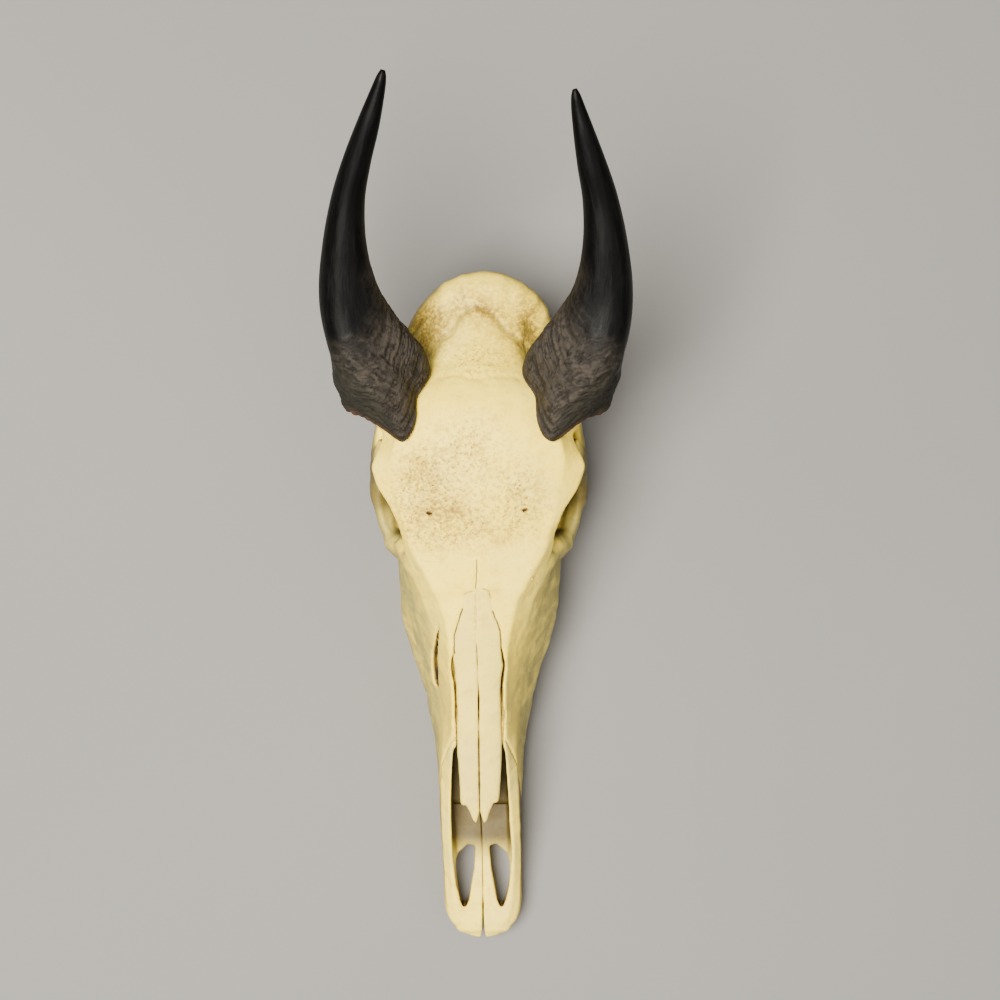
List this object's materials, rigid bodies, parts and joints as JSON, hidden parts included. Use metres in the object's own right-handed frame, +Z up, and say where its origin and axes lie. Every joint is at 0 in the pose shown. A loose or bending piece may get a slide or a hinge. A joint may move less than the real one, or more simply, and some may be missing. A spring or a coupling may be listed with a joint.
{
  "type": "nilgai skull",
  "caption": "Skull of an adult male nilgai without the lower jaw, lying on its cheek teeth, with black horn sheaths over the bony cores.",
  "frame": {"origin": "middle of the bottom face of the bounding box, on the surface that the skull lies on", "axes": "+Y from the muzzle towards the back of the skull and the horn tips, +X the animal's own left, +Z up"},
  "size_m": [0.1642, 0.473, 0.2154],
  "materials": {
    "skull_bone": "dry cream-coloured bone, grainy on the forehead",
    "nasal_bone": "dry cream-coloured bone, smooth",
    "muzzle_bone": "dry cream-coloured bone, smooth",
    "horn": "black horn, satin towards the tips, brown-grey and flaky towards the rims",
    "tooth": "ivory enamel with brown stain"
  },
  "bodies": {
    "root": {"cranium": "skull_bone", "nasal_left": "nasal_bone", "premaxilla_left": "muzzle_bone", "horn_sheath_left": "horn", "premolar_2_left": "tooth", "premolar_3_left": "tooth", "premolar_4_left": "tooth", "molar_1_left": "tooth", "molar_2_left": "tooth", "molar_3_left": "tooth", "nasal_right": "nasal_bone", "premaxilla_right": "muzzle_bone", "horn_sheath_right": "horn", "premolar_2_right": "tooth", "premolar_3_right": "tooth", "premolar_4_right": "tooth", "molar_1_right": "tooth", "molar_2_right": "tooth", "molar_3_right": "tooth"}
  },
  "joints": []
}
